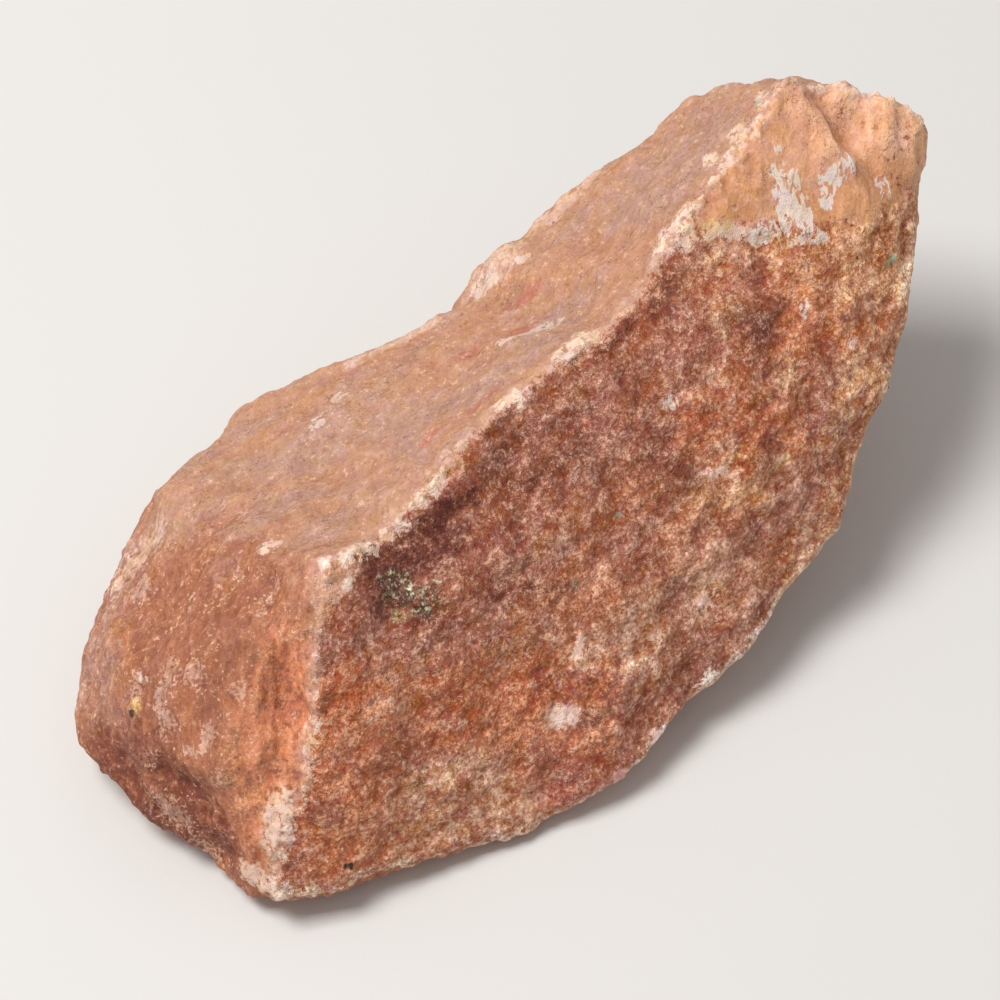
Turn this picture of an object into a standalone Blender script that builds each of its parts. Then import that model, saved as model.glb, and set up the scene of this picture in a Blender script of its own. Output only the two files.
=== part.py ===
"""A rough lump of vein stone, broken off the rock and left as it came: one solid.

Blender 4.5, metres, +Z up. The stone lies on its underside, which is flat in patches, with
its long axis along +X. It has a broad granular front face, a smoother top face, a hollowed
left end and an overhanging right end. Lengths are laid out in millimetres from a point under
the crest, and the finished stone is moved so that its origin is on the ground, below the
middle of its bounding box.
"""

import bpy
import bmesh
from mathutils import Vector, geometry, noise

MM = 0.001
NAME = "rough_stone"

# Matt salmon-brown rock, in linear colour.
STONE_COLOUR = (0.46, 0.2, 0.125, 1)
STONE_ROUGHNESS = 0.85

# --- Lines of the stone, from its left end to its right end, in millimetres ---

# The sharp edge between the broad front face and the top face. It runs on down the right end.
CREST = (
    (-25, -1, 33), (-21, -1.5, 33), (-17, -1.5, 32.5), (-10.5, -1, 34), (0, 0, 36), (8.5, 0, 37),
    (18, 0, 38), (24.5, 2, 41), (31.5, 3.5, 43.5), (39, 5, 46), (46.5, 6.5, 47.5), (49.5, 5, 46),
    (52.5, 4, 45), (55, 2, 43), (57.5, -0.5, 40.5), (58.5, -3, 37.5),
)
# The far edge of the top face.
BACK_RIM = (
    (-28.5, 24, 21), (-22.5, 26, 20), (-17, 28, 19), (-13, 28, 19), (-9, 29.5, 19), (-1, 26, 21.5),
    (5, 22.5, 23), (10, 21, 24.5), (14.5, 18.5, 25.5), (17.5, 21.5, 27), (24, 20.5, 28), (29, 21.5, 29),
    (37.5, 19, 33.5), (43.5, 18, 37), (47, 13, 41.5), (51, 9, 42), (55, 4.5, 40.5), (58, 0.5, 37.5),
)
# The fullest line of the back.
BELLY = (
    (-39.5, 21, 14), (-30, 25.5, 11), (-18, 28, 10), (-6, 27.5, 11), (6, 24, 13),
    (15, 23, 15), (25, 22.5, 17), (36, 20, 21), (45, 15.5, 26), (51, 9, 31), (57, 2, 34),
)
# Where the back turns under, and where the underside turns up to the front.
BACK_FOOT = (
    (-49, 12, 7), (-45, 17.5, 2), (-35, 22, 0), (-17, 26, -1), (-3, 24, -0.5), (6, 21, -0.5), (15, 20, -1),
    (24, 18, -0.5), (33, 16, 3), (41, 13, 9), (48, 8, 18), (53, 4, 26), (57, 0, 32),
)
FRONT_FOOT = (
    (-46, -9, 1.5), (-37, -14, -0.5), (-24, -18, -1), (-10, -20, -0.5), (4, -19, -0.5), (17, -17, -1),
    (26, -14, 0), (34, -9, 6), (42, -4, 13), (49, -1, 21), (57, -2, 32),
)
# The curved lower edge of the front face.
FRONT_RIM = (
    (-44.5, -14.5, 5.5), (-38, -18, 5), (-31.5, -20, 4), (-23, -23, 2.5), (-16, -25, 2), (-11, -26, 3),
    (-4, -27.5, 4.5), (4, -26, 6), (11, -26, 7.5), (19, -24.5, 10), (27, -24, 13), (31.5, -22.5, 16),
    (36.5, -20, 20), (42.5, -17.5, 23.5), (47.5, -13.5, 28), (51.5, -10, 31), (55, -6, 34.5),
    (57.5, -5, 35.5),
)
# The middle of the front face, which swells a little between its two edges.
FRONT_FACE = (
    (-33.5, -8.5, 23), (-26, -12, 20.5), (-16.5, -14, 20), (-7, -14.5, 20.5), (3, -15, 22.5),
    (12.5, -14.5, 24), (21.5, -13.5, 27), (30.5, -11.5, 31), (38.5, -9, 35), (46, -5.5, 39), (52, -2.5, 40),
    (58.5, -4, 36.5),
)

# Each strip of skin between two lines: its first line, its divisions, its swell, and any middle line.
STRIPS = (
    (CREST, 20, -0.8, None),
    (BACK_RIM, 9, 0.6, None),
    (BELLY, 9, 1.0, None),
    (BACK_FOOT, 16, 0.0, None),
    (FRONT_FOOT, 7, 0.8, None),
    (FRONT_RIM, 35, 0.0, FRONT_FACE),
)
LONG_DIVISIONS = 100
# Steps of the smooth curve between two points of a line.
CURVE_STEPS = 16

# Each end: its middle point, how far it stands proud, and the rings between it and the loft.
LEFT_END = ((-41, 3.5, 17), 2.5, 17)
RIGHT_END = ((58.5, -2, 35.5), 0.5, 3)

# --- Relief: lumps, hollows, ledges and fracture facets ---

# Flat fractures: a point on each and the way it faces. Stone beyond it is broken off.
CHIPS = (
    ((-36, 24, 6), (-0.55, 0.7, -0.3)),
    ((-8, 28, 8), (-0.05, 0.95, -0.4)),
    ((20, 24, 12), (0.12, 0.9, -0.35)),
    ((42, 17, 22), (0.5, 0.75, -0.35)),
    ((47, 3, 18), (0.6, 0.1, -0.75)),
    ((34, -10, 8), (0.35, -0.35, -0.8)),
)

# Strokes: start, end, how far to each side it reaches, and how much it raises (or sinks) the stone.
STROKES = (
    # Left end: the channel beside its sharp front edge, and the nose of stone left of the channel.
    ((-32.5, -4, 26.5), (-35, -7, 22.5), 3.0, -0.8),
    ((-35, -7, 22.5), (-38.5, -10.5, 17), 3.5, -1.0),
    ((-38.5, -3.5, 21.5), (-42.5, -5, 16), 5.0, 0.7),
    # Left end: the ledge across it, the hollow under the ledge, and the pit.
    ((-45.5, 3, 15), (-42.5, -3, 17), 3.0, 0.6),
    ((-45.5, 0.5, 12.5), (-44.5, -4.5, 12), 3.5, -1.0),
    ((-43.5, 6.5, 18.5), (-43, 8, 19), 2.8, -0.9),
    # Left end: the full left side, the groove that sets it off, and the step beside the lowest tip.
    ((-41, 15, 17), (-44.5, 13.5, 13), 6.0, 0.5),
    ((-46, 9, 14), (-48, 5, 9), 3.0, -0.7),
    ((-47.5, -5.5, 3), (-46, -7, 6.5), 3.5, -1.6),
    ((-48, 8, 4), (-48, 3, 3), 5.0, 0.8),
    # The notch where the top face meets the left end, and the swollen corner of the top face above it.
    ((-30, 23.5, 19.5), (-33.5, 22, 18.5), 5.0, -2.4),
    ((-27, 23, 21.5), (-22, 21, 22.5), 6.0, 0.6),
    # Top face: its long shallow trough, and the low ridge between the trough and the crest.
    ((-13, 12, 26.5), (2, 8.5, 30.5), 7.0, -0.8),
    ((3, 10, 30), (16, 8, 34), 6.0, -0.5),
    ((22, 9, 36), (38, 9, 42.5), 5.0, 0.5),
    # The knot of crust on the left corner of the crest.
    ((-24, -1.5, 32.5), (-22.5, -2, 32.5), 3.5, 0.8),
    # Right end: the gully across its top, with a ridge before it and a rounded lump beyond it.
    ((49.5, 4, 45.5), (49.8, -1, 42.5), 3.2, -1.6),
    ((49.8, -1, 42.5), (50.5, -5, 38.5), 3.2, -1.2),
    ((46.5, 2.5, 45), (47.5, -2.5, 42), 3.0, 0.5),
    ((54.5, -1, 41), (55.5, -4, 38.5), 4.5, 0.6),
    # Underside: shallow hollows, so that it bears on the ground in patches.
    ((-25, 3, 0), (-10, 8, 0), 14.0, -1.6),
    ((4, -5, 0), (12, 10, 0), 9.0, -1.2),
    # The back of the high tip of the crest, which is stout.
    ((44, 10, 44), (49, 9, 44.5), 5.0, 0.6),
    # Front face: broad hollows and swells.
    ((-14, -5, 30), (4, -5, 33), 6.0, -0.5),
    ((-34, -15, 15), (-20, -18, 14), 7.0, 0.5),
    ((12, -17, 20), (26, -16, 24), 8.0, 0.5),
    ((22, -4, 36), (36, -3, 39), 6.0, -0.5),
)

# Noise: the size of its lumps, their height, and an offset that picks the pattern.
LUMPS = (
    (16, 0.8, Vector((3.1, 7.7, 1.9))),
    (6, 0.45, Vector((8.3, 2.2, 5.1))),
    (3, 0.2, Vector((1.4, 6.6, 9.2))),
)

# Fracture facets: their size, the height of the steps between them, and the pattern's offset.
FACETS = (13, 1.3, Vector((0.6, 4.4, 2.7)))
# Facets are boldest on the freshly broken back and underside, which turn this way.
FRESH_SIDE = Vector((0.3, 0.55, -0.78))
FACETS_MID_WEIGHT, FACETS_LEAST_WEIGHT = 0.6, 0.12
# Spreads neighbouring cells apart, so that each one gets a tilt of its own.
CELL_SPREAD = 7.3

# --- The base, and the finished mesh ---

# Stone that is lower than this beds flat on the ground.
BEDDING = 0.2
# Rounds of smoothing that the soft edges get; the crest, the rim and the left edge stay sharp.
SOFTENING = 6
# Of what lies beyond a flat fracture, the share that breaks off.
CHIP_SHARE = 0.9
# Triangles of the finished stone.
FACE_COUNT = 8400


def even_points(line, count):
    """count + 1 points, evenly spaced along a Catmull-Rom curve through the points of line."""
    points = [Vector(p) for p in line]
    padded = [2 * points[0] - points[1], *points, 2 * points[-1] - points[-2]]
    fine = []
    for i in range(len(points) - 1):
        a, b, c, d = padded[i:i + 4]
        slope, bend, twist = c - a, 2 * a - 5 * b + 4 * c - d, 3 * b - a - 3 * c + d
        for step in range(CURVE_STEPS):
            t = step / CURVE_STEPS
            fine.append(b + (slope * t + bend * t**2 + twist * t**3) / 2)
    fine.append(points[-1])
    travelled = [0.0]
    for start, end in zip(fine, fine[1:]):
        travelled.append(travelled[-1] + (end - start).length)
    found = []
    i = 0
    for step in range(count + 1):
        goal = travelled[-1] * step / count
        while i < len(fine) - 2 and travelled[i + 1] < goal:
            i += 1
        share = (goal - travelled[i]) / (travelled[i + 1] - travelled[i])
        found.append(fine[i].lerp(fine[i + 1], share))
    return found


def join_rings(bm, ring, following):
    for j in range(len(ring)):
        k = (j + 1) % len(ring)
        bm.faces.new((ring[j], ring[k], following[k], following[j]))


def close_end(bm, ring, end, swell):
    """Rings that draw in to the middle of an end, and a fan that closes it."""
    middle, proud, count = end
    middle = Vector(middle)
    outer = ring
    for step in range(1, count):
        share = step / count
        inner = [bm.verts.new(v.co.lerp(middle, share)) for v in ring]
        for vert in inner:
            swell[vert] = proud * share * (2 - share)
        join_rings(bm, outer, inner)
        outer = inner
    pole = bm.verts.new(middle)
    swell[pole] = proud
    for j in range(len(outer)):
        bm.faces.new((outer[j], outer[(j + 1) % len(outer)], pole))


def loft(bm):
    """The closed skin through the edge lines. Returns the vertices that lie on its sharp edges."""
    lines = [even_points(line, LONG_DIVISIONS) for line, _, _, _ in STRIPS]
    middles = [middle and even_points(middle, LONG_DIVISIONS) for _, _, _, middle in STRIPS]
    swell = {}
    sharp = set()
    rings = []
    for station in range(LONG_DIVISIONS + 1):
        ring = []
        for k, (line, divisions, height, middle) in enumerate(STRIPS):
            start, end = lines[k][station], lines[(k + 1) % len(lines)][station]
            bow = middles[k][station] - (start + end) / 2 if middle else Vector((0, 0, 0))
            for j in range(divisions):
                share = j / divisions
                arch = 4 * share * (1 - share)
                vert = bm.verts.new(start.lerp(end, share) + bow * arch)
                swell[vert] = height * arch
                ring.append(vert)
                on_edge_line = j == 0 and line in (CREST, FRONT_RIM)
                on_left_edge = station == 0 and line is FRONT_RIM
                if on_edge_line or on_left_edge:
                    sharp.add(vert)
        rings.append(ring)
    for ring, following in zip(rings, rings[1:]):
        join_rings(bm, ring, following)
    close_end(bm, rings[0], LEFT_END, swell)
    close_end(bm, rings[-1], RIGHT_END, swell)
    bmesh.ops.recalc_face_normals(bm, faces=bm.faces)
    bm.normal_update()
    for vert, height in swell.items():
        vert.co += vert.normal * height
    return sharp


def press(bm, start, end, reach, rise):
    start, end = Vector(start), Vector(end)
    for vert in bm.verts:
        nearest, share = geometry.intersect_point_line(vert.co, start, end)
        nearest = start.lerp(end, min(max(share, 0.0), 1.0))
        gap = (vert.co - nearest).length / reach
        if gap < 1:
            vert.co += vert.normal * rise * (1 - gap**2) ** 2
    bm.normal_update()


def chip(bm, point, facing):
    point, facing = Vector(point), Vector(facing).normalized()
    for vert in bm.verts:
        beyond = (vert.co - point).dot(facing)
        if beyond > 0:
            vert.co -= facing * beyond * CHIP_SHARE
    bm.normal_update()


def break_into_facets(bm, size, height, offset):
    """Tilts the skin, cell by cell, so that it looks broken along many small planes."""
    for vert in bm.verts:
        place = vert.co / size + offset
        cell = noise.voronoi(place)[1][0]
        tilt = noise.cell_vector(cell * CELL_SPREAD) - Vector((0.5, 0.5, 0.5))
        weight = min(max(FACETS_MID_WEIGHT + vert.normal.dot(FRESH_SIDE), FACETS_LEAST_WEIGHT), 1.0)
        vert.co += vert.normal * height * weight * tilt.dot(place - cell)
    bm.normal_update()


def roughen(bm, size, height, offset):
    for vert in bm.verts:
        vert.co += vert.normal * height * noise.fractal(vert.co / size + offset, 1.0, 2.0, 3)
    bm.normal_update()


def rest_on_base(bm):
    """Flattens what would lie below the base, and puts the origin at the middle of it."""
    for vert in bm.verts:
        if vert.co.z < BEDDING:
            vert.co.z = 0.0
    low = Vector([min(vert.co[axis] for vert in bm.verts) for axis in range(3)])
    high = Vector([max(vert.co[axis] for vert in bm.verts) for axis in range(3)])
    middle = (low + high) / 2
    bmesh.ops.translate(bm, vec=(-middle.x, -middle.y, -low.z), verts=bm.verts)


def thin_out(bm):
    """Merges the fine skin into about FACE_COUNT triangles, which keeps its edges and ledges."""
    bmesh.ops.triangulate(bm, faces=bm.faces)
    fine = bpy.data.meshes.new("fine_stone")
    bm.to_mesh(fine)
    carrier = bpy.data.objects.new("fine_stone", fine)
    bpy.context.scene.collection.objects.link(carrier)
    decimate = carrier.modifiers.new("thin out", "DECIMATE")
    decimate.ratio = FACE_COUNT / len(fine.polygons)
    evaluated = carrier.evaluated_get(bpy.context.evaluated_depsgraph_get())
    bm.clear()
    bm.from_mesh(evaluated.data)
    bpy.data.objects.remove(carrier)
    bpy.data.meshes.remove(fine)


def build_stone():
    bm = bmesh.new()
    sharp = loft(bm)
    soft = [vert for vert in bm.verts if vert not in sharp]
    for _ in range(SOFTENING):
        bmesh.ops.smooth_vert(
            bm, verts=soft, factor=0.5, use_axis_x=True, use_axis_y=True, use_axis_z=True
        )
    bm.normal_update()
    for point, facing in CHIPS:
        chip(bm, point, facing)
    for start, end, reach, rise in STROKES:
        press(bm, start, end, reach, rise)
    break_into_facets(bm, *FACETS)
    for size, height, offset in LUMPS:
        roughen(bm, size, height, offset)
    rest_on_base(bm)
    thin_out(bm)
    rest_on_base(bm)
    bmesh.ops.scale(bm, vec=(MM, MM, MM), verts=bm.verts)
    mesh = bpy.data.meshes.new(NAME)
    bm.to_mesh(mesh)
    bm.free()
    return mesh


def stone_material():
    material = bpy.data.materials.new("stone")
    material.use_nodes = True
    shader = material.node_tree.nodes["Principled BSDF"]
    shader.inputs["Base Color"].default_value = STONE_COLOUR
    shader.inputs["Roughness"].default_value = STONE_ROUGHNESS
    return material


def main():
    for obj in list(bpy.data.objects):
        bpy.data.objects.remove(obj)
    stone = bpy.data.objects.new(NAME, build_stone())
    stone.data.materials.append(stone_material())
    collection = bpy.data.collections.new(NAME)
    bpy.context.scene.collection.children.link(collection)
    collection.objects.link(stone)


main()
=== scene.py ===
import bpy
import numpy as np
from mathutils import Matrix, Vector, kdtree


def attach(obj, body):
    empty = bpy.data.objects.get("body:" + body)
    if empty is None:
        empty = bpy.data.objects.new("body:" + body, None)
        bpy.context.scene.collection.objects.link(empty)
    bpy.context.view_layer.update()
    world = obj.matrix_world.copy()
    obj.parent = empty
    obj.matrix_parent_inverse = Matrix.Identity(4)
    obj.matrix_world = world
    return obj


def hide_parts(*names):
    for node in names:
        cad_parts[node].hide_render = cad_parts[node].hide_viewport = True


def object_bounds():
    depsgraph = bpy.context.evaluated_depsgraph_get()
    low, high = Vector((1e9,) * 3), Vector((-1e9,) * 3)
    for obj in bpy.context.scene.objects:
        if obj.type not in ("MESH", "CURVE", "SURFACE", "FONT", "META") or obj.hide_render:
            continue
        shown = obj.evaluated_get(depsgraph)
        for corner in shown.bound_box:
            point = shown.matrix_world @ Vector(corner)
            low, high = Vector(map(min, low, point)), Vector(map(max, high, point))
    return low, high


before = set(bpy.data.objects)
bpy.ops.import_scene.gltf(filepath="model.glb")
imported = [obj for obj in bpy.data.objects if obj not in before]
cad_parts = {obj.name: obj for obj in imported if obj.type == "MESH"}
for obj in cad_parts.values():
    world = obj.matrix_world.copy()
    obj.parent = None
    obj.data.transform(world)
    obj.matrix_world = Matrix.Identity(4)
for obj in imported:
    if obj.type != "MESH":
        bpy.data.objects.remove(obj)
cad_low, cad_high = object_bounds()


# The stone: one lump of pinkish-brown vein rock, broken off with a hammer and never cut or polished.
# Its front face, underside and right end are a sugary break. The top and the left end follow old seams, so
# they are smoother, streaked or fibrous, and a thin whitish crust is left on the edges between these faces.

MM = 0.001

# Where the sharp edges run, in millimetres from the stone's origin, each from left to right or top down.
CREST = (
    (-30.5, -2, 33), (-26.5, -2.5, 33), (-22.5, -2.5, 32.5), (-16, -2, 34), (-5.5, -1, 36), (3, -1, 37),
    (12.5, -1, 38), (19, 1, 41), (26, 2.5, 43.5), (33.5, 4, 46), (41, 5.5, 47.5), (44, 4, 46), (47, 3, 45),
    (49.5, 1, 43), (52, -1.5, 40.5), (53, -4, 37.5),
)
LEFT_EDGE = (
    (-30.5, -2, 33), (-32.5, -4, 31), (-36.5, -8.5, 25.5), (-41, -10.5, 20), (-44.5, -12, 15),
    (-48.5, -14.5, 8), (-50, -15.5, 5.5),
)
RIM = (
    (-50, -15.5, 5.5), (-43.5, -19, 5), (-37, -21, 4), (-28.5, -24, 2.5), (-21.5, -26, 2), (-16.5, -27, 3),
    (-9.5, -28.5, 4.5), (-1.5, -27, 6), (5.5, -27, 7.5), (13.5, -25.5, 10), (21.5, -25, 13), (26, -23.5, 16),
    (31, -21, 20), (37, -18.5, 23.5), (42, -14.5, 28), (46, -11, 31), (49.5, -7, 34.5), (53, -4, 37.5),
)
FRONT_FACING = Vector((-0.1, -0.75, 0.65)).normalized()
# The soft corner between the top and the left end: a point on it, and the way that the left end faces.
LEFT_CORNER = Vector((-30.5, -2, 33))
LEFT_FACING = Vector((-0.815, -0.387, -0.43)).normalized()

# The hidden break of the underside and the right end: the way that it faces, the least that a place has to
# face that way to be on it, and how many millimetres inward each further unit of facing counts as.
UNDER_FACING = Vector((0.55, -0.1, -0.83)).normalized()
UNDER_LIMIT = 0.35
UNDER_SCALE = 12

# How far apart the points of the skin are when it is rebuilt as an even grid.
GRID = 0.455

bpy.ops.object.select_all(action="DESELECT")
stone = bpy.data.objects.new("stone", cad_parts["rough_stone"].data.copy())
bpy.context.scene.collection.objects.link(stone)
bpy.context.view_layer.objects.active = stone
stone.select_set(True)
bpy.ops.object.mode_set(mode="EDIT")
bpy.ops.mesh.select_all(action="SELECT")
bpy.ops.mesh.remove_doubles(threshold=0.001 * MM)
bpy.ops.object.mode_set(mode="OBJECT")


def apply_modifier(kind, **settings):
    modifier = stone.modifiers.new(kind.lower(), kind)
    for name, value in settings.items():
        setattr(modifier, name, value)
    bpy.ops.object.modifier_apply(modifier=modifier.name)


def skin():
    """The places and the normals of the stone's points, in millimetres."""
    count = len(stone.data.vertices)
    places, normals = np.empty(count * 3), np.empty(count * 3)
    stone.data.vertices.foreach_get("co", places)
    stone.data.vertices.foreach_get("normal", normals)
    return places.reshape(-1, 3) / MM, normals.reshape(-1, 3)


def tree_of(points):
    tree = kdtree.KDTree(len(points))
    for i, point in enumerate(points):
        tree.insert(point, i)
    tree.balance()
    return tree


# A point every half millimetre along an edge, and how far from it the ridge is looked for.
STEP = 0.5
REACH = 2.5


def follow_edge(line, places, normals):
    """The line through these points in small steps, moved out onto the stone's own ridge and evened out."""
    marks = [Vector(line[0])]
    for start, end in zip(line, line[1:]):
        start, end = Vector(start), Vector(end)
        steps = max(1, round((end - start).length / STEP))
        marks += [start.lerp(end, (i + 1) / steps) for i in range(steps)]
    tree = tree_of(places)
    ridge = []
    for before, mark, after in zip(marks[:1] + marks, marks, marks[1:] + marks[-1:]):
        along = (after - before).normalized()
        near = [i for place, i, gap in tree.find_range(mark, REACH) if abs((place - mark).dot(along)) < STEP]
        if near:
            outward = normals[near].mean(axis=0)
            mark = Vector(places[near[int(np.argmax(places[near] @ outward))]])
        ridge.append(mark)
    padded = ridge[:1] * 2 + ridge + ridge[-1:] * 2
    return [sum(padded[i:i + 5], Vector((0, 0, 0))) / 5 for i in range(len(ridge))]


def measure(places, line):
    """How far each place is from a line, and which of the line's points is nearest."""
    tree = tree_of(line)
    found = [tree.find(place) for place in places]
    return np.array([gap for _, _, gap in found]), [i for _, i, _ in found]


apply_modifier("REMESH", mode="VOXEL", voxel_size=GRID * MM)
apply_modifier("SMOOTH", factor=0.5, iterations=10)
places, normals = skin()
crest, left_edge, rim = (follow_edge(line, places, normals) for line in (CREST, LEFT_EDGE, RIM))


def masks(places):
    """What part of the stone each place belongs to, in millimetres past the edges of that part."""
    border = crest + rim[::-1] + left_edge[::-1]
    gaps, nearest = measure(places, border)
    inward = []
    for before, after in zip(border[-1:] + border[:-1], border[1:] + border[:1]):
        inward.append((after - before).cross(FRONT_FACING).normalized() + FRONT_FACING)
    offsets = places - np.array(border)[nearest]
    side = np.sign((offsets * np.array(inward)[nearest]).sum(axis=1))
    return {
        "front": side * gaps,
        "left": (places - np.array(LEFT_CORNER)) @ np.array(LEFT_FACING),
        "crest": measure(places, crest + left_edge)[0],
        "rim": measure(places, rim)[0],
    }


def share(values, low, high):
    """Values as a share from 0 at low to 1 at high."""
    return np.clip((values - low) / (high - low), 0, 1)


WEIGHT_LEVELS = 20


def vertex_group(name, weights):
    group = stone.vertex_groups.new(name=name)
    levels = np.round(weights * WEIGHT_LEVELS)
    for level in range(1, WEIGHT_LEVELS + 1):
        group.add(np.flatnonzero(levels == level).tolist(), level / WEIGHT_LEVELS, "REPLACE")
    return group.name


# Places on the skin are strokes: each runs from one point to another and reaches so far to each side.
# This is the rind that laps over the right end of the front face.
RIND = (
    ((24, 2, 42.5), (30, 2.5, 44.5), 3.6), ((30, 1.5, 43.5), (36, 0, 43.5), 6.3),
    ((36, -1, 42.5), (40, -3, 41.5), 6.2), ((41, -4, 40), (46, -4, 39.5), 5.2),
    ((46, -2, 41), (52, -3, 38), 6.5), ((33, 3, 45.5), (46, 3, 45.5), 5), ((47, -5, 38), (51, -5, 37.5), 4.2),
)


def stroked(places, strokes):
    """1 on the strokes, a half at their edges, 0 at twice their reach. A spot is a stroke of no length."""
    most = np.zeros(len(places))
    for start, end, reach in strokes:
        start, run = np.array(start), np.array(end) - np.array(start)
        way = np.clip((places - start) @ run / max(run @ run, 1e-6), 0, 1)
        gaps = np.linalg.norm(places - start - way[:, None] * run, axis=1)
        most = np.maximum(most, 1 - gaps / (2 * reach))
    return most


# Over how many rounds of neighbours the skin is averaged: for the way that a whole side faces, and for what
# stands out from the stone around it, coarse and fine.
SIDE_ROUNDS = 40
COARSE_ROUNDS = 30
FINE_ROUNDS = 4

edges = np.empty(len(stone.data.edges) * 2, dtype=int)
stone.data.edges.foreach_get("vertices", edges)
edges = edges.reshape(-1, 2)


def spread(values, rounds):
    """Values averaged with those of the neighbouring points, so many times over."""
    ends = np.concatenate([edges[:, 0], edges[:, 1]])
    others = np.concatenate([edges[:, 1], edges[:, 0]])
    count = np.bincount(ends, minlength=len(values))
    for _ in range(rounds):
        values = np.stack([np.bincount(ends, column[others], len(values)) for column in values.T], axis=1)
        values /= count[:, None]
    return values


def under_break(normals):
    """How far each place is inside the break of the underside and the right end, in millimetres or so."""
    return (spread(normals, SIDE_ROUNDS) @ np.array(UNDER_FACING) - UNDER_LIMIT) * UNDER_SCALE


# How much of each kind of surface there is at each place. They blend over a few millimetres at their edges.
part = masks(places)
face = share(part["front"], -0.5, 0.8)
rind = face * share(stroked(places, RIND), 0.42, 0.55)
front = face - rind
under = (1 - face) * share(under_break(normals), -1, 2)
left = (1 - face - under) * share(part["left"], -3, 3)
top = 1 - face - under - left
front += under
crust = share(part["crest"], 2.2, 0.6)


def relief(group, height, size, depth, stretch=None):
    """Raises and sinks the skin by a pattern. size is that of its lumps, and height is from top to bottom."""
    texture = bpy.data.textures.new(group, "CLOUDS")
    texture.noise_scale = size * MM
    texture.noise_basis = "ORIGINAL_PERLIN"
    texture.noise_depth = depth
    settings = {"texture": texture, "strength": height * MM, "mid_level": 0.5, "vertex_group": group}
    if stretch:
        guide = bpy.data.objects.new("guide", None)
        bpy.context.scene.collection.objects.link(guide)
        direction, factor = stretch
        guide.rotation_mode = "QUATERNION"
        guide.rotation_quaternion = Vector(direction).to_track_quat("X", "Z")
        guide.scale = (factor, 1, 1)
        bpy.context.view_layer.update()
        settings.update(texture_coords="OBJECT", texture_coords_object=guide)
    else:
        settings["texture_coords"] = "LOCAL"
    apply_modifier("DISPLACE", **settings)
    if stretch:
        bpy.data.objects.remove(guide)
    bpy.data.textures.remove(texture)


for name, weights in {"front": front, "rind": rind, "left": left, "top": top, "crust": crust}.items():
    vertex_group(name, weights)

LEFT_FIBRES = (-0.46, -0.49, -0.74)
TOP_STREAKS = (0.97, 0.05, 0.22)
RIND_STREAKS = (-0.4, -0.68, -0.61)

# The curved groove down the right part of the left end.
GROOVE = (
    ((-34.6, 2.6, 29), (-38.1, -2.5, 27.5), 1.4), ((-38.1, -2.5, 27.5), (-39.8, -6, 22.9), 1.6),
    ((-39.8, -6, 22.9), (-41.4, -8, 19.5), 1.7), ((-41.4, -8, 19.5), (-44.5, -9, 16.5), 1.8),
)
GROOVE_DEPTH = 0.6
GROOVE_STEEPNESS = 1.5
groove = vertex_group("groove", stroked(places, GROOVE) ** GROOVE_STEEPNESS * left)
apply_modifier("DISPLACE", strength=-GROOVE_DEPTH * MM, mid_level=0, vertex_group=groove)

# The sugary break: soft lumps with grain on them.
relief("front", height=1.6, size=3.5, depth=2)
relief("front", height=0.9, size=1.2, depth=2)
# Fibres that run down the left end.
relief("left", height=1.3, size=1.0, depth=1, stretch=(LEFT_FIBRES, 4))
relief("left", height=0.7, size=2.6, depth=3)
# Long streaks and small knobs along the top.
relief("top", height=0.7, size=1.2, depth=1, stretch=(TOP_STREAKS, 3))
relief("top", height=1.2, size=2.8, depth=3)
# Furrows that run down the rind.
relief("rind", height=0.8, size=1.6, depth=1, stretch=(RIND_STREAKS, 3))
relief("rind", height=0.6, size=3, depth=2)
# Crumbs of the crust.
relief("crust", height=1.6, size=1.1, depth=2)

# The relief stays inside the box of the solid.
places = np.clip(skin()[0], np.array(cad_low) / MM, np.array(cad_high) / MM)
stone.data.vertices.foreach_set("co", (places * MM).ravel())
stone.data.update()
stone.vertex_groups.clear()
bpy.ops.object.shade_smooth()

# How far each place stands out from the stone around it, by which the material paints shade into the hollows
# and light onto what stands out.
places, normals = skin()
proud = ((places - spread(places, COARSE_ROUNDS)) * normals).sum(axis=1)
fine_proud = ((places - spread(places, FINE_ROUNDS)) * normals).sum(axis=1)


def attribute(name, values):
    stone.data.attributes.new(name, "FLOAT", "POINT").data.foreach_set("value", values.astype(np.float32))


part = masks(places)
attribute("front", np.maximum(part["front"], under_break(normals)))
attribute("left", part["left"])
attribute("crest", part["crest"])
attribute("rim", part["rim"])
attribute("proud", proud)
attribute("fine_proud", fine_proud)
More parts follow.
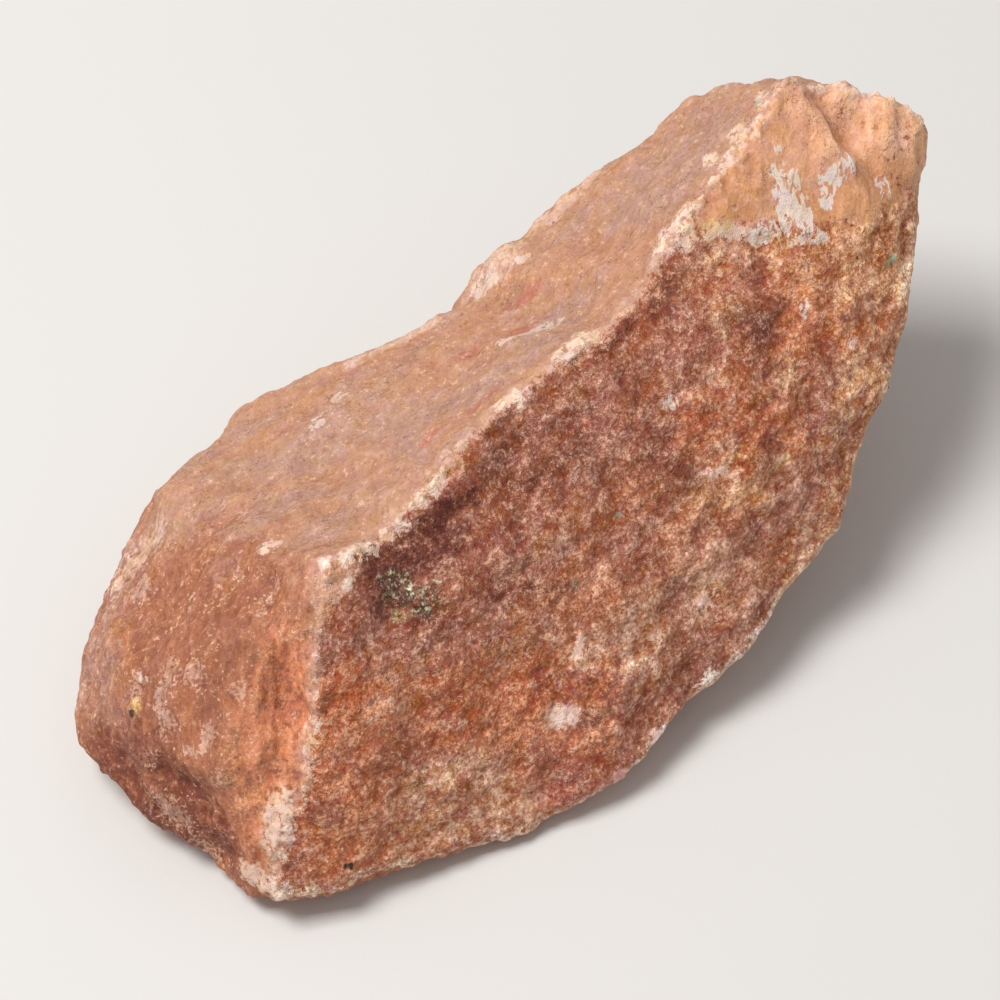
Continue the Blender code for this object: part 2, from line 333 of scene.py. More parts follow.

# Where the stains lie on the skin, and where light and shade are painted: hollow is painted light, brown and
# pit are painted shade, and dull is painted shade along the groove and at the foot of the left end.
STAINS_AND_SHADING = {
    "rind": RIND,
    "mauve": (
        ((-24, -7, 30), (-6, -8, 31), 5), ((-6, -6, 32), (13, -5, 35), 4.5),
        ((13, -5, 35), (16, -5, 35.6), 3.5), ((-2, -25, 10), (6, -24, 11), 5),
        ((16, -20, 19), (22, -19, 21), 3), ((30, -15, 29), (36, -13, 31), 2.5),
    ),
    "maroon": (
        ((-25, -5, 31), (-18, -6, 31), 2.8), ((-17, -4, 32.5), (-13, -5, 32), 1.1),
        ((-27, -7, 29), (-24, -8.6, 28), 1.6),
    ),
    "dark": (
        ((-11, -3.5, 33), (-5, -4, 34), 0.9), ((5, -2.6, 36.4), (12, -2.6, 37), 0.7),
        ((15, -3, 37.4), (18.5, -1.2, 39.2), 1.1), ((22.6, -8.3, 34.6), (22.8, -10.6, 32.9), 1.7),
        ((8, -14, 26.5), (8.8, -15, 25), 1.5), ((-6, -8, 31), (0, -8, 32), 1.5),
        ((-17, -12, 24.6), (-11.6, -14, 23.2), 0.5), ((-11.6, -14, 23.2), (-7.9, -15.2, 21.9), 0.35),
    ),
    # Patches made darker. Along the groove of the left end and at its foot this is painted shade.
    "dull": (
        ((12, -5, 35.6), (16, -5.5, 35.6), 3), ((-43, -1, 24.5), (-46, 2, 21), 4),
        ((-34, 8, 27), (-38, 5, 26), 4), ((-53, 6, 8), (-50, -10, 6), 4),
        ((-36.5, 0, 28), (-39.3, -5.5, 24), 1),
    ),
    "bright": (
        ((25, -17, 25), (18, -19, 22), 6), ((10, -22, 16), (-6, -26, 8), 5.5),
        ((40, -9, 35), (43, -12, 31), 4), ((50, -3, 40.5), (46, 0, 43), 4),
        ((-2, -10.5, 28.3), (-7, -10, 28.4), 3), ((13.4, -16.3, 24.8), (13.7, -16.1, 25.2), 2.4),
        ((4.7, -22.4, 14.4), (4.9, -22.4, 14.6), 1.6), ((-11.2, -19.5, 16.6), (-10.4, -19.5, 16.8), 1.8),
    ),
    "ochre": (
        ((39, -8, 37), (41, -11, 33), 5), ((41, -10, 34), (34, -12.5, 32), 4),
        ((45, -8, 36), (48, -8, 35), 4), ((30, -5.5, 37), (36, -8.5, 35.8), 2.4),
        ((36, -15.5, 28), (30, -18.5, 24), 2.6), ((10, -16.5, 24), (15, -18, 23.5), 2.4),
        ((11, -17, 24), (15, -19, 22), 2.6), ((27.5, -9.4, 33.7), (27.1, -11.5, 31.8), 1.3),
        ((23, -12, 31.5), (24, -14, 30), 1.5),
    ),
    "rust": (
        ((-42, -14, 15), (-40, -18, 8), 4), ((-24, -16, 17), (-14, -21, 13), 5),
        ((30, -12, 31), (31, -14, 29), 1.5), ((-35, -11, 22.8), (-39.5, -13, 18.4), 3.6),
        ((28.3, -9.4, 33.9), (26.9, -12.5, 31.1), 1.8), ((14, -13, 29), (20, -17, 25), 3),
    ),
    "white": (
        ((-15.7, -21.5, 11.8), (-14.6, -21.9, 11.5), 1.2), ((-11.2, -19.5, 16.6), (-10, -19, 17.7), 0.55),
        ((13, -16.8, 24.3), (13.6, -17, 24), 0.8), ((10.3, -15.4, 25.3), (12.8, -16.3, 24.5), 0.5),
        ((19, -18.6, 22.9), (19, -18.6, 22.9), 0.5), ((26, -13.8, 29.7), (26, -13.8, 29.7), 0.5),
        ((32.5, -15.2, 28.6), (32.5, -15.2, 28.6), 0.6), ((4.7, -22.4, 14.4), (4.9, -22.4, 14.6), 0.9),
        ((-6.8, -27.7, 5.4), (-6.8, -27.7, 5.4), 1), ((-12.7, -28, 4.5), (-12.7, -28, 4.5), 0.8),
    ),
    "cream": (
        ((-31.4, 6.1, 28.5), (-30.8, 6.2, 28.6), 0.9), ((-50.4, -12, 6.2), (-49.9, -14.3, 6.1), 1.3),
        ((-45.1, -11.5, 14.7), (-47.9, -13.6, 10.3), 1.3), ((-28.3, -2.9, 33.4), (-27.6, -2.6, 33.4), 0.9),
        ((-30.7, -1.7, 33.1), (-30, -1.4, 33.3), 0.7), ((-29.6, -4.6, 31.6), (-29.2, -4.6, 31.8), 0.6),
        ((-22.9, -2.7, 31.8), (-21, -3, 32), 0.8), ((-18.5, -2.6, 33.2), (-16, -2.5, 33.8), 0.9),
        ((-4.8, -0.3, 36), (-3.5, -0.6, 36.2), 0.9), ((-15, -2.3, 34.1), (-15, -2.3, 34.1), 1),
        ((5, -0.5, 36.8), (7, 0, 37), 1.5), ((19.8, 2, 39.8), (24, 2.5, 42), 1.4),
        ((20.5, 0.6, 41), (22.7, 0.4, 41), 1.2), ((22.7, 0.4, 41), (27, -1.6, 39.6), 0.8),
        ((27, -1.6, 39.6), (29, -3.7, 38.2), 0.7), ((3.5, -0.1, 36.9), (7, -0.2, 37.4), 0.9),
        ((30, 5.3, 42.6), (30, 5.6, 42.4), 0.7), ((33.7, 5.2, 44.3), (33.7, 5.6, 44.1), 0.8),
        ((38.5, 6.2, 45.3), (38.5, 6.6, 45), 0.9),
    ),
    "bare": (
        ((8.8, -0.3, 37), (17.5, 1.2, 38.4), 2.4), ((0.2, -0.2, 36.4), (2.6, 0.2, 36.4), 1.6),
        ((-6.8, -0.8, 36), (-12.2, -1.8, 35.2), 1.8), ((-32, 2, 30.5), (-29.5, -0.5, 32.5), 1.8),
    ),
    "flesh": (
        ((-31.3, -3.9, 31.5), (-29.2, -3.4, 32.6), 1.5), ((-33, -5.2, 29.8), (-31.3, -3.9, 31.5), 0.9),
    ),
    "fawn": (
        ((21, -2.6, 37.8), (24, -3.2, 37.7), 1.6), ((23.6, -4, 37.2), (21.5, -7.5, 34.8), 1.8),
        ((15.9, -12.2, 30.1), (17, -11, 31.3), 1.6), ((13.7, -16.1, 25.2), (13.4, -16.3, 24.8), 2),
        ((4.5, -22.6, 14), (5, -22.4, 14.6), 1.8), ((-35.5, -20, 6.5), (-24.9, -22.8, 6.5), 3.8),
        ((-31, -18, 12), (-27, -20, 10), 2.4), ((-5, -24.4, 11.2), (-1.3, -20.1, 17.9), 2.4),
        ((-1.3, -20.1, 17.9), (0, -19.5, 18.8), 1.2), ((-17.2, -15.7, 19.4), (-16.4, -15.9, 19.2), 1.8),
        ((-11.6, -20.5, 15.3), (-10, -20, 16), 1.8), ((26.3, -20.2, 20.6), (25, -19.5, 22), 1.8),
    ),
    "umber": (
        ((2.3, -5.6, 32.9), (2.8, -6.5, 32.2), 1.4), ((8.9, -10.8, 29.6), (4.4, -12.7, 26.7), 1.2),
        ((-14.2, -12.3, 24.7), (-13.4, -12, 25), 2.2), ((-25.3, -10.8, 24.8), (-23.5, -10.8, 25), 1.8),
        ((-8, -6.9, 30.4), (-9, -6.4, 30.6), 1.3), ((-13.3, -23.2, 10.5), (-12.6, -23.4, 10.4), 1.1),
        ((-42.6, -14.8, 14), (-41.8, -15.2, 13), 1.5), ((1.1, -26.6, 7.3), (0, -26.8, 7), 1.7),
        ((22.7, -13.2, 30.2), (22.3, -12.8, 30.8), 1.2), ((17.1, -18, 24), (18.5, -17.4, 25), 1.5),
        ((26, -9.2, 33.8), (24.3, -10, 33.2), 1.5), ((27.5, -5.3, 36.4), (26.9, -6.5, 35.6), 0.9),
    ),
    "bloom": (
        ((26, 19, 31), (20, 20, 28), 1.1), ((20, 20, 28), (17.8, 20.5, 27), 1.6),
        ((14.4, 19.8, 27.6), (12.5, 19.6, 27), 1.6), ((12, 19, 27), (9.4, 19.5, 24.4), 1.9),
        ((3, 19.5, 24.2), (-7, 22, 22), 0.9), ((-35, 20, 19.5), (-39, 21, 16), 1.5),
        ((-39, 21, 16), (-44, 18, 14), 1),
    ),
    "veins": (
        ((-40.8, 16.2, 18.8), (-40.8, 16.2, 18.8), 1), ((-48.7, -6.4, 16.5), (-48.7, -6.4, 16.5), 1.1),
        ((-45, 2.2, 22.6), (-44.6, 2.5, 22.6), 1), ((-43.4, -3.5, 23.3), (-42.6, -3.2, 23.8), 0.8),
        ((-47.9, 8, 17.6), (-48.5, 7.5, 17), 1), ((-52.4, -0.6, 7.9), (-51.7, -3.4, 6.8), 1.5),
        ((-51.7, -3.4, 6.8), (-50.8, -5.6, 3.9), 1.2), ((-45, 5.5, 21), (-47.9, 4.4, 19), 0.6),
        ((-47.9, 4.4, 19), (-49.1, 1.8, 17.8), 0.8), ((-49.1, 1.8, 17.8), (-51.6, 2.3, 12), 0.7),
        ((-47.1, -2.7, 20), (-48.9, -3.6, 18.4), 0.5), ((-48.9, -3.6, 18.4), (-49.5, -2.2, 17.4), 0.5),
        ((-34, 2, 29), (-37, 0.5, 28), 0.7),
    ),
    "bluish": (
        ((34.6, -1, 41.8), (33.3, -5.2, 38.6), 1.3), ((33, -3, 40), (31.5, -5.5, 37.8), 0.8),
        ((38.4, -3.9, 40.4), (42.4, -4.1, 40.7), 1.0), ((38.4, -3.9, 40.4), (37.4, -5.2, 39.2), 0.7),
        ((29, -3.3, 38.8), (30.4, -3.7, 38.4), 0.9), ((30.4, -3.8, 38.4), (34.5, -7, 37.2), 0.9),
        ((44.5, -6.2, 37.2), (44.2, -7, 36.4), 0.7), ((35.8, 1.1, 43.5), (35.8, 1.1, 43.5), 0.5),
        ((29.6, -10.3, 33.1), (28.8, -11.5, 31.8), 0.4), ((11, -9.5, 31.2), (11, -9.5, 31.2), 0.7),
        ((3.5, 9.2, 29.9), (6.4, 7.6, 30.7), 0.6), ((6.4, 7.6, 30.7), (9.3, 6, 31.5), 0.6),
        ((10.6, 18.9, 26), (9.1, 19.2, 24.4), 1), ((-11.6, 18.4, 24.1), (-11.6, 18.4, 24.1), 0.8),
        ((-15.7, 17.5, 24.3), (-15.7, 17.5, 24.3), 0.8), ((22, 9.5, 34), (23, 9.2, 34.2), 0.5),
        ((14, 17, 28.5), (13, 17, 28), 0.5), ((-47.6, 7.9, 17.9), (-47.6, 7.9, 17.9), 0.5),
    ),
    # The hollow of the left end, where bright orange is painted light.
    "hollow": (
        ((-37, -4, 26.4), (-39, -7, 22), 2.1), ((-39, -7, 22), (-43, -9, 18), 4),
        ((-43, -9, 18), (-48, -11, 11), 3.5),
    ),
    # The foot of the left end, where brown is painted shade.
    "brown": (
        ((-50, 3, 12), (-49, -6, 8), 4), ((-53, 6, 8), (-52, -3, 4), 4),
    ),
    "amber": (
        ((26, 0, 41), (31, 0.5, 42), 2.6), ((36, -5.5, 38.5), (46, -6.5, 37), 2.4),
    ),
    "edge": (
        ((53, -4, 37.5), (42, -14.5, 28), 1.5), ((42, -14.5, 28), (31, -21, 20), 1.5),
        ((31, -21, 20), (13.5, -25.5, 10), 1.3),
    ),
    "pale": (
        ((44, -2, 42), (51, -4, 38), 4), ((38, 3, 45), (46, 2, 44), 2), ((34, 1, 44), (40, -1, 43), 3),
    ),
    "grey": (
        ((-23, 16.5, 23.7), (-9, 10, 28), 2.2), ((-9, 10, 28), (-3, 4, 32.4), 2.2),
        ((-3, 4, 32.4), (4, 4, 34), 2), ((5, 6.2, 31.9), (10.7, 7.6, 31), 1.3),
        ((-12.3, 7.2, 28.6), (-12.9, 3, 31), 2.4), ((22.6, 11.2, 33.8), (24.5, 8.6, 37.3), 2.4),
        ((-35, 19, 21), (-38, 22, 16), 3), ((-38, 22, 16), (-50, 14, 11), 3.5),
        ((-47, 15, 14), (-51, 5, 12), 2.6), ((24, 13, 33), (34, 9, 39), 3),
    ),
    "green": (
        ((-26, -6.3, 29.4), (-24, -6.5, 29), 1), ((-25.5, -7.5, 28), (-22.5, -9.2, 26.9), 1.4),
    ),
    "turquoise": (
        ((37.6, 6.4, 44.9), (37.6, 6.4, 44.9), 0.45), ((41.2, -11.8, 32), (41.2, -11.8, 32), 0.6),
        ((0, -13.4, 25.3), (0, -13.4, 25.3), 0.4), ((-7.5, -15.4, 21.6), (-7.9, -15.3, 21.8), 0.25),
        ((10.4, 18.8, 26.4), (10.4, 18.8, 26.4), 0.3),
    ),
    "yellow": (
        ((-49.4, 6.6, 16.7), (-49.6, 6.4, 16.2), 0.6), ((-26, -8.6, 26.8), (-25.4, -8.9, 26.6), 0.7),
        ((18.6, -18.4, 22.4), (19.4, -18.9, 22.6), 0.6), ((24.5, 0.2, 40.6), (26.5, -0.7, 40), 0.6),
    ),
    # Small pits, painted near-black as the shadow inside them.
    "pit": (
        ((-50.3, 6.3, 15.9), (-50.3, 6.3, 15.7), 0.35), ((-42.3, -18.5, 7), (-42.3, -18.5, 7), 0.5),
        ((-47.9, 7.2, 18), (-48.3, 6.6, 17.8), 0.2),
    ),
    "red": (
        ((-20.5, -25, 4.2), (-12.5, -27.8, 4.6), 1.2), ((-13.1, -12.5, 24.4), (-13.1, -12.5, 24.4), 0.6),
        ((15.3, -13.5, 28.5), (15.3, -13.5, 28.5), 0.5), ((1.9, -6.2, 32.3), (1.9, -6.2, 32.3), 0.45),
        ((-20.1, -24.6, 5.3), (-20.1, -24.6, 5.3), 0.6), ((32.3, -19.7, 21.4), (32.3, -19.7, 21.4), 0.6),
        ((-21.8, -22, 9), (-19, -26, 3.9), 0.9), ((-17, -24, 7.5), (-14, -25.5, 6.5), 1.4),
        ((8.5, 13.4, 27.6), (12, 12.6, 29), 0.8), ((5, 9.6, 29.6), (6.5, 9, 30), 0.6),
        ((0.5, 11.3, 28), (1.2, 10.9, 28.2), 0.8), ((-12.3, 3.2, 31.9), (-10.3, 4.2, 31.5), 0.7),
        ((-6, 3, 33), (-3, 3.2, 33.6), 0.6),
    ),
}
for name, strokes in STAINS_AND_SHADING.items():
    attribute(name, stroked(places, strokes))


class Wire:
    """A socket of a material. Sums on it add Math nodes, and every other node comes from its node()."""

    def __init__(self, tree, socket):
        self.tree = tree
        self.socket = socket

    def node(self, kind, settings, sockets, output=0):
        made = self.tree.nodes.new(kind)
        for name, value in settings.items():
            setattr(made, name, value)
        for name, value in sockets.items():
            if isinstance(value, Wire):
                self.tree.links.new(value.socket, made.inputs[name])
            elif made.inputs[name].type == "RGBA":
                made.inputs[name].default_value = (*value, 1)
            else:
                made.inputs[name].default_value = value
        return Wire(self.tree, made.outputs[output])

    def sum(self, operation, *values):
        return self.node("ShaderNodeMath", {"operation": operation}, dict(enumerate(values)))

    def __add__(self, other):
        return self.sum("ADD", self, other)

    def __sub__(self, other):
        return self.sum("SUBTRACT", self, other)

    def __rsub__(self, other):
        return self.sum("SUBTRACT", other, self)

    def __mul__(self, other):
        return self.sum("MULTIPLY", self, other)

    __radd__ = __add__
    __rmul__ = __mul__

    def rises(self, low, high):
        """0 below low, 1 above high, and a smooth step between them."""
        settings = {"interpolation_type": "SMOOTHSTEP"}
        return self.node("ShaderNodeMapRange", settings, {"Value": self, "From Min": low, "From Max": high})

    def vector(self, operation, sockets, output=0):
        return self.node("ShaderNodeVectorMath", {"operation": operation}, sockets, output)

    def drawn_out(self, direction, factor):
        """These coordinates, for a pattern that is drawn out by this factor along a direction."""
        along = self.vector("DOT_PRODUCT", {0: self, 1: direction}, 1)
        back = self.vector("SCALE", {0: direction, "Scale": along * (1 - 1 / factor)})
        return self.vector("SUBTRACT", {0: self, 1: back})

    def noise(self, size, detail, roughness=0.5, output=0):
        sockets = {"Vector": self, "Scale": 1 / size, "Detail": detail, "Roughness": roughness}
        return self.node("ShaderNodeTexNoise", {}, sockets, output)

    def cells(self, size):
        """A random colour for each grain of this size, and how far each place is from its grain's middle."""
        sockets = {"Vector": self, "Scale": 1 / size}
        return [self.node("ShaderNodeTexVoronoi", {}, sockets, output) for output in (1, 0)]

    def parts(self):
        return [self.node("ShaderNodeSeparateXYZ", {}, {0: self}, part) for part in range(3)]

    def attribute(self, name):
        return self.node("ShaderNodeAttribute", {"attribute_name": name}, {}, 2)

    def warped(self, size, amount):
        """These coordinates, pushed about so that a pattern on them is irregular."""
        push = self.noise(size, 1, output=1)
        return self.vector("MULTIPLY_ADD", {0: push, 1: (amount,) * 3, 2: self})

    def over(self, cover, colour):
        """This colour with another laid over it."""
        return self.node("ShaderNodeMix", {"data_type": "RGBA"}, {0: cover, 6: self, 7: colour}, 2)

    def scaled(self, factor):
        """This place or colour times a factor."""
        return self.vector("SCALE", {0: self, "Scale": factor})


material = bpy.data.materials.new("rough vein stone")
material.use_nodes = True
shader = material.node_tree.nodes["Principled BSDF"]
blank = Wire(material.node_tree, None)

ORANGE_BROWN = (0.502, 0.189, 0.098)
MAUVE = (0.435, 0.17, 0.106)
TAN = (0.66, 0.31, 0.185)
MAROON = (0.135, 0.024, 0.0115)
OCHRE = (0.75, 0.36, 0.18)
RUST = (0.66, 0.215, 0.087)
SAND = (0.83, 0.515, 0.37)
PEACH = (0.52, 0.248, 0.14)
PINK = (0.505, 0.256, 0.157)
GREY_PINK = (0.47, 0.268, 0.195)
SALMON = (0.475, 0.216, 0.126)
PALE_PINK = (0.66, 0.4, 0.29)
TERRACOTTA = (0.355, 0.127, 0.063)
ORANGE = (0.437, 0.156, 0.071)
ROSE = (0.408, 0.148, 0.077)
PAINTED_LIGHT_ORANGE = (0.77, 0.285, 0.135)
BROWN = (0.23, 0.06, 0.03)
APRICOT = (0.74, 0.355, 0.2)
PALE_APRICOT = (0.8, 0.42, 0.25)
DEEP_ORANGE = (0.7, 0.3, 0.143)
CREAM = (0.77, 0.52, 0.39)
WHITE = (0.98, 0.63, 0.49)
FLESH = (0.66, 0.33, 0.2)
FAWN = (0.72, 0.365, 0.218)
UMBER = (0.3, 0.095, 0.052)
CRUMB = (0.74, 0.47, 0.35)
BLUISH_WHITE = (0.78, 0.63, 0.54)
AMBER = (0.62, 0.27, 0.11)
PALE_OCHRE = (0.68, 0.36, 0.19)
SOOT = (0.1, 0.065, 0.04)
LICHEN = (0.5, 0.4, 0.22)
BRICK = (0.5, 0.115, 0.062)
TURQUOISE = (0.29, 0.4, 0.28)
YELLOW = (0.75, 0.5, 0.2)
PIT_SHADOW = (0.05, 0.025, 0.015)
HAIRLINE = (0.2, 0.085, 0.05)

# The patterns, each with the size of its lumps in millimetres. drift is drawn out along the top and the
# crest, and runs is drawn out down the left end.
exact = blank.node("ShaderNodeTexCoord", {}, {}, 3).scaled(1 / MM)
place = exact.warped(2.5, 1.4)
drift = place.drawn_out(TOP_STREAKS, 1.6)
runs = place.drawn_out(LEFT_FIBRES, 2.6)
haze, glow, veil = drift.noise(5, 2, output=1).parts()
run, band, wash = runs.noise(2.6, 3, 0.6, output=1).parts()
threads = runs.noise(0.7, 2, 0.65) - 0.5
light = exact.noise(1.7, 4, 0.95) - 0.5
tint = exact.noise(2.4, 2, 0.8, output=1)
ragged = exact.noise(1.0, 3, 0.75) - 0.5
clumps = exact.noise(4.5, 2) - 0.5
flecks = exact.noise(0.42, 2, 0.6)
cracks = drift.noise(1.8, 3, 0.6) - 0.5
crystals, middles = exact.cells(0.36)
# The grey of the grains' random colours, dark or pale.
sugar = crystals - 0.5
joins = middles.rises(0.5, 0.85)


def stain_and_shading(name, softness, raggedness=5, pattern=ragged):
    """How much of a patch there is, for the stains and for the painted light and shade alike: its strokes,
    with a ragged edge of this softness.
    """
    reach = blank.attribute(name) * (pattern * raggedness + clumps * 1.5 + 1)
    return reach.rises(0.5 - softness, 0.5 + softness)


def blend(cover, first, second):
    return blank.node("ShaderNodeMix", {"data_type": "RGBA"}, {0: cover, 6: first, 7: second}, 2)


# The break: sugary grains of orange brown, mauve and sand, in patches that drift along the crest. Part of the
# sand flecks are painted glints.
front_colour = blend(haze.rises(0.42, 0.58), ORANGE_BROWN, MAUVE)
front_colour = front_colour.over(glow.rises(0.52, 0.66) * 0.6, TAN)
front_colour = front_colour.over(stain_and_shading("mauve", 0.4) * 0.7, MAUVE)
front_colour = front_colour.over(stain_and_shading("ochre", 0.4) * 0.9, OCHRE)
front_colour = front_colour.over(stain_and_shading("rust", 0.4) * 0.8, RUST)
front_colour = front_colour.over(stain_and_shading("fawn", 0.4) * 0.95, FAWN)
front_colour = front_colour.over(stain_and_shading("umber", 0.4) * 0.85, UMBER)
murk = stain_and_shading("maroon", 0.4, 4)
front_colour = front_colour.over(murk * 0.92, MAROON)
front_colour = front_colour.over(stain_and_shading("dark", 0.45, 4) * 0.65, MAROON)
front_grain = light * 5.2 + sugar * 1.05 + flecks * 0.9 + clumps * 2.3 - joins * 0.3 - 0.55

# The top: waxy pink, with hazy patches along the crest.
top_colour = blend(haze.rises(0.38, 0.62), PINK, PEACH)
top_colour = top_colour.over(glow.rises(0.5, 0.68) * 0.6, SALMON)
top_colour = top_colour.over(veil.rises(0.5, 0.66) * 0.6, GREY_PINK)
top_colour = top_colour.over(stain_and_shading("grey", 0.4) * 0.8, GREY_PINK)
top_grain = light * 1.1 + sugar * 0.25

# The left end: fibrous terracotta, with painted light in bright orange over the hollow and painted shade in
# brown at its foot.
left_colour = blend(run.rises(0.35, 0.65), TERRACOTTA, ORANGE)
left_colour = left_colour.over(band.rises(0.5, 0.66) * 0.7, ROSE)
left_colour = left_colour.over(stain_and_shading("grey", 0.4) * 0.6, GREY_PINK)
# Bright orange over the hollow is painted light, not a colour of the stone.
left_colour = left_colour.over(stain_and_shading("hollow", 0.5) * 0.9, PAINTED_LIGHT_ORANGE)
# Brown at the foot of the left end is painted shade.
left_colour = left_colour.over(stain_and_shading("brown", 0.5), BROWN)
left_grain = light * 1.3 + threads * 1.2 + sugar * 0.3

# The rind: apricot, in streaks down it.
rind_colour = blend(run.rises(0.42, 0.55), DEEP_ORANGE, APRICOT)
rind_colour = rind_colour.over(band.rises(0.5, 0.62) * 0.45, PALE_APRICOT)
rind_colour = rind_colour.over(wash.rises(0.5, 0.6) * 0.3, SAND)
rind_colour = rind_colour.over(stain_and_shading("pale", 0.5) * 0.5, PALE_APRICOT)
rind_colour = rind_colour.over(stain_and_shading("amber", 0.4) * 0.8, AMBER)
rind_grain = light * 0.95 + threads * 0.55 + sugar * 0.1

front_mask = (blank.attribute("front") + ragged * 5 + clumps * 2).rises(-0.15, 0.25)
left_mask = (blank.attribute("left") + ragged * 14 + clumps * 22).rises(-5, 4)
rind_mask = stain_and_shading("rind", 0.1, 2)
sugary = front_mask * (1 - rind_mask)
colour = top_colour.over(left_mask, left_colour)
colour = colour.over(front_mask, front_colour.over(rind_mask, rind_colour))
skin_grain = top_grain + left_mask * (left_grain - top_grain)
break_grain = front_grain + rind_mask * (rind_grain - front_grain)
grain = skin_grain + front_mask * (break_grain - skin_grain)
# Lighter and darker patches. The darker ones along the groove and at the foot of the left end are painted
# shade.
grain = grain + stain_and_shading("bright", 0.5) * 0.2 - stain_and_shading("dull", 0.5) * 0.17

# The crust, where the smooth skin breaks off at the edges: cream crumbs, thick in places.
from_crest = blank.attribute("crest")
colour = colour.over((2.6 - from_crest + clumps * 6).rises(0, 2) * (1 - front_mask) * 0.4, PALE_PINK)
flesh = stain_and_shading("flesh", 0.3, 4)
colour = colour.over(flesh * 0.8, FLESH)
crumbs = (0.6 - from_crest + clumps * 5 + ragged * 7 - stain_and_shading("bare", 0.5, 2) * 2.2 - flesh).rises(0, 0.5)
colour = colour.over(crumbs * 0.9, CRUMB)
rim_crumbs = (0.9 - blank.attribute("rim") + ragged * 6 + clumps * 4).rises(0, 0.5)
colour = colour.over(rim_crumbs * 0.8, CREAM)
colour = colour.over(stain_and_shading("edge", 0.3, 6) * 0.75, PALE_OCHRE)
patches = stain_and_shading("cream", 0.2, 6)
colour = colour.over(patches * 0.9, CREAM)
colour = colour.over(stain_and_shading("bloom", 0.3, 4, threads) * 0.6, CREAM)
# Cream flecks on the skin and its veins: partly whitish bits of the stone, partly painted glints of light.
pale_flecks_and_glints = (flecks + blank.attribute("veins") * 0.3 + glow * 0.5).rises(0.88, 0.96)
colour = colour.over(pale_flecks_and_glints * (0.22 + left_mask * 0.2) * (1 - sugary), CREAM)
spots = stain_and_shading("white", 0.3, 3.5)
colour = colour.over(spots * 0.95, WHITE)
chalk = stain_and_shading("bluish", 0.12, 7, threads)
colour = colour.over(chalk * (0.5 + front_mask * 0.4), BLUISH_WHITE)
colour = colour.over(stain_and_shading("yellow", 0.3, 8) * 0.7, YELLOW)
colour = colour.over(stain_and_shading("red", 0.4, 7) * 0.55, BRICK)
colour = colour.over(stain_and_shading("turquoise", 0.3, 6) * 0.8, TURQUOISE)
lichen = stain_and_shading("green", 0.4, 9)
colour = colour.over(lichen * 0.65, SOOT)
colour = colour.over(lichen * (flecks + light).rises(0.5, 0.62) * 0.65, LICHEN)
covers = (spots + chalk + crumbs + patches + flesh).rises(0, 1)
pocks = (0.38 - flecks).rises(0, 0.1) * (0.55 - front_mask * 0.25)
grain = grain * (1 - covers * 0.6) + covers * 0.07 - pocks

# Painted shade in the hollows and painted light on what stands out, by how far each place stands out. Pale
# grains are less red than dark ones, so brightness works more on green and blue than on red.
grain = grain + blank.attribute("fine_proud") * 0.6 + blank.attribute("proud") * 0.2
grain = grain.sum("EXPONENT", grain) - 1
shift = tint.vector("MULTIPLY_ADD", {0: tint, 1: (0.06, 0, 0.9), 2: (0.97, 1, 0.55)})
tilt = sugary.vector("MULTIPLY_ADD", {0: sugary, 1: (-0.17, -0.06, 0.07), 2: (0.72, 1.06, 1.22)})
shift = grain.vector("MULTIPLY_ADD", {0: grain, 1: tilt, 2: shift})
hues = crystals.vector("MULTIPLY_ADD", {0: crystals, 1: (0.03, 0.04, 0.14), 2: (-0.015, -0.02, -0.07)})
shift = shift.vector("ADD", {0: shift, 1: hues.scaled(0.15 + sugary * 0.85)})
shift = shift.vector("MAXIMUM", {0: shift, 1: (0.28, 0.16, 0.1)})
colour = colour.vector("MULTIPLY", {0: colour, 1: shift})
# Sand flecks on the brightest grains: partly pale grains of the stone, partly painted glints of light on its
# crystals.
pale_grains_and_glints = (flecks + light * 1.3 + sugary * 0.06).rises(0.66, 0.76)
colour = colour.over(pale_grains_and_glints * (0.55 - front_mask * (murk * 0.35 + 0.1) - rind_mask * 0.25), SAND)
hairlines = (0.014 - cracks.sum("ABSOLUTE", cracks)).rises(0, 0.012) * (veil - 0.45).rises(0, 0.1)
colour = colour.over(hairlines * (1 - sugary) * 0.6, HAIRLINE)
# Near-black in the small pits is painted shadow.
colour = colour.over(stain_and_shading("pit", 0.2, 5), PIT_SHADOW)

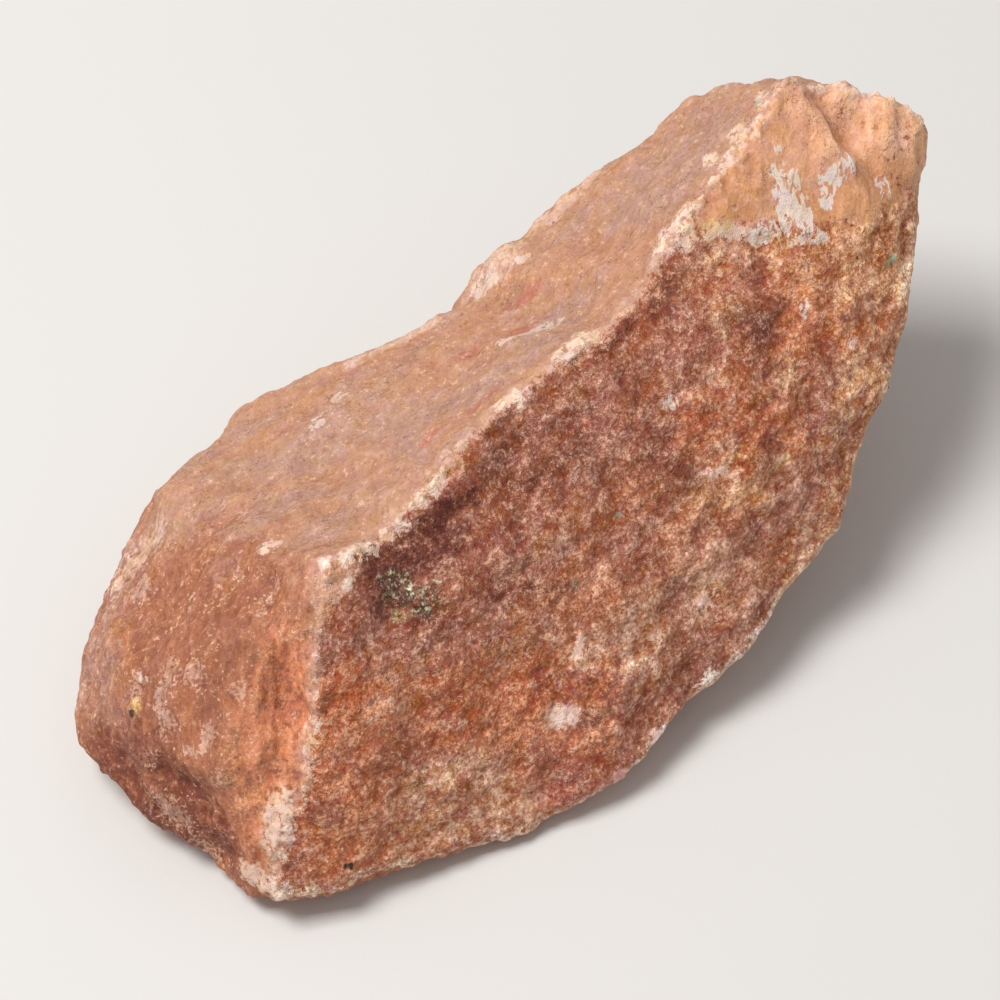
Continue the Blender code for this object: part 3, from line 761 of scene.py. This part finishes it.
# The bump: waxy on the skin and gritty on the break.
rough = blank.attribute("front").rises(-0.5, 0.5) * (1 - blank.attribute("rind").rises(0.4, 0.6))
wax = threads * 0.14 + light * 0.2
grit = light * 0.5
height = wax + rough * (grit - wax)
bump = blank.node("ShaderNodeBump", {}, {"Height": height, "Distance": MM})
material.node_tree.links.new(colour.socket, shader.inputs["Base Color"])
material.node_tree.links.new(bump.socket, shader.inputs["Normal"])
shader.inputs["Roughness"].default_value = 0.75
stone.data.materials.clear()
stone.data.materials.append(material)

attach(stone, "root")
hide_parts("rough_stone")


# The table: a plain pale board.
bpy.ops.object.select_all(action="DESELECT")
bpy.ops.mesh.primitive_plane_add(size=4)
table = bpy.context.object
table.name = "table"
paint = bpy.data.materials.new("pale board")
paint.use_nodes = True
paint.node_tree.nodes["Principled BSDF"].inputs["Base Color"].default_value = (0.72, 0.7, 0.67, 1)
paint.node_tree.nodes["Principled BSDF"].inputs["Roughness"].default_value = 0.7
table.data.materials.append(paint)


# The light: one large soft lamp, high and a little to the back left, in a pale room.
LAMP_DIRECTION = Vector((-0.32, 0.242, 0.916))
LAMP_DISTANCE = 0.9
bpy.ops.object.light_add(type="AREA", location=LAMP_DIRECTION * LAMP_DISTANCE)
lamp = bpy.context.object
lamp.rotation_mode = "QUATERNION"
lamp.rotation_quaternion = LAMP_DIRECTION.to_track_quat("Z", "Y")
lamp.data.size = 0.35
lamp.data.energy = 7
world = bpy.data.worlds.new("pale room")
world.use_nodes = True
world.node_tree.nodes["Background"].inputs["Color"].default_value = (1, 1, 1, 1)
world.node_tree.nodes["Background"].inputs["Strength"].default_value = 0.4
bpy.context.scene.world = world
bpy.context.scene.view_settings.view_transform = "Standard"


# The camera: a long lens that looks down on the front and the left end.
CAMERA_PLACE = Vector((-175.1, -192, 384.65)) * MM
CAMERA_TARGET = Vector((-5.57, -1.02, 20)) * MM
bpy.ops.object.camera_add(location=CAMERA_PLACE)
camera = bpy.context.object
camera.rotation_mode = "QUATERNION"
camera.rotation_quaternion = (CAMERA_PLACE - CAMERA_TARGET).to_track_quat("Z", "Y")
camera.data.lens = 150
camera.data.sensor_width = 36
camera.data.clip_start = 0.01
bpy.context.scene.camera = camera
